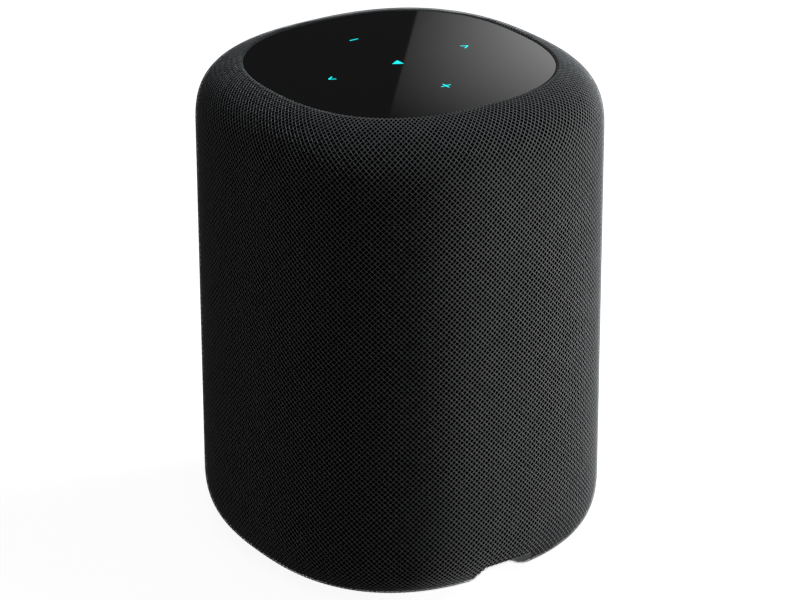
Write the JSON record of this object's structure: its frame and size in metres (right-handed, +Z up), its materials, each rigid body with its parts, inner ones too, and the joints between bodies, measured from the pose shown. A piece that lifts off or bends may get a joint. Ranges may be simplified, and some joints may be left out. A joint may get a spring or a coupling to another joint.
{
  "type": "smart speaker",
  "caption": "Tabletop smart speaker: rounded-square tower wrapped in dark woven mesh, with a glossy black touch panel, lit control legends and a rear cable port.",
  "frame": {"origin": "centre of the footprint, on the surface the rubber foot stands on", "axes": "+Z up, front faces -Y, mains inlet and cable port at the rear on +Y, +X to the right as seen from the front"},
  "size_m": [0.14, 0.14, 0.1884],
  "materials": {
    "sleeve": "woven",
    "black_plastic": "moulded",
    "panel_glass": "polished black glass",
    "legend_cyan": "lit",
    "light_guide": "frosted clear",
    "circuit_board": "solder resist",
    "component_white": "moulded",
    "brass": "satin",
    "grey_plastic": "moulded",
    "steel": "satin",
    "ferrite": "matt sintered",
    "paper_cone": "pressed pulp",
    "rubber": "matt",
    "spider_cloth": "impregnated cloth",
    "aluminium": "satin",
    "capacitor_sleeve": "shrink sleeve",
    "port_silver": "satin"
  },
  "bodies": {
    "speaker": {"fabric_sleeve": "sleeve", "cage_upper": "black_plastic", "cage_lower": "black_plastic", "touch_glass": "panel_glass", "legend_play": "legend_cyan", "legend_plus": "legend_cyan", "legend_minus": "legend_cyan", "legend_next": "legend_cyan", "legend_previous": "legend_cyan", "light_guide": "light_guide", "touch_board": "circuit_board", "legend_light_1": "component_white", "legend_light_2": "component_white", "legend_light_3": "component_white", "legend_light_4": "component_white", "legend_light_5": "component_white", "microphone_1": "brass", "microphone_2": "brass", "microphone_3": "brass", "microphone_4": "brass", "top_tray": "black_plastic", "speaker_enclosure": "grey_plastic", "baffle_plate": "grey_plastic", "woofer_basket": "steel", "woofer_yoke": "steel", "woofer_magnet": "ferrite", "woofer_top_plate": "steel", "woofer_surround": "rubber", "woofer_spider": "spider_cloth", "woofer_screw_1": "steel", "woofer_screw_2": "steel", "woofer_screw_3": "steel", "woofer_screw_4": "steel", "tweeter_right_body": "black_plastic", "tweeter_left_body": "black_plastic", "lower_housing": "grey_plastic", "housing_lid": "grey_plastic", "main_board": "circuit_board", "power_board": "circuit_board", "transformer": "ferrite", "smoothing_capacitor": "capacitor_sleeve", "heat_sink": "aluminium", "base_plate": "black_plastic", "foot_ring": "rubber", "base_screw_1": "steel", "base_screw_2": "steel", "base_screw_3": "steel", "base_screw_4": "steel", "port_trim": "port_silver", "power_inlet": "black_plastic", "inlet_pin_1": "steel", "inlet_pin_2": "steel"},
    "woofer_diaphragm": {"woofer_cone": "paper_cone", "woofer_dust_cap": "paper_cone", "woofer_voice_coil": "brass"},
    "tweeter_right_diaphragm": {"tweeter_right_dome": "aluminium"},
    "tweeter_left_diaphragm": {"tweeter_left_dome": "aluminium"}
  },
  "joints": [
    {"name": "woofer_slide", "type": "slide", "parent": "speaker", "child": "woofer_diaphragm", "axis": [0, 0, 1], "range_m": [-0.004, 0.004], "stiffness_N_per_m": 1500, "deforming": ["woofer_surround", "woofer_spider"]},
    {"name": "tweeter_right_slide", "type": "slide", "parent": "speaker", "child": "tweeter_right_diaphragm", "axis": [1, 0, 0], "range_m": [-0.0003, 0.0003], "stiffness_N_per_m": 2000},
    {"name": "tweeter_left_slide", "type": "slide", "parent": "speaker", "child": "tweeter_left_diaphragm", "axis": [-1, 0, 0], "range_m": [-0.0003, 0.0003], "stiffness_N_per_m": 2000}
  ]
}
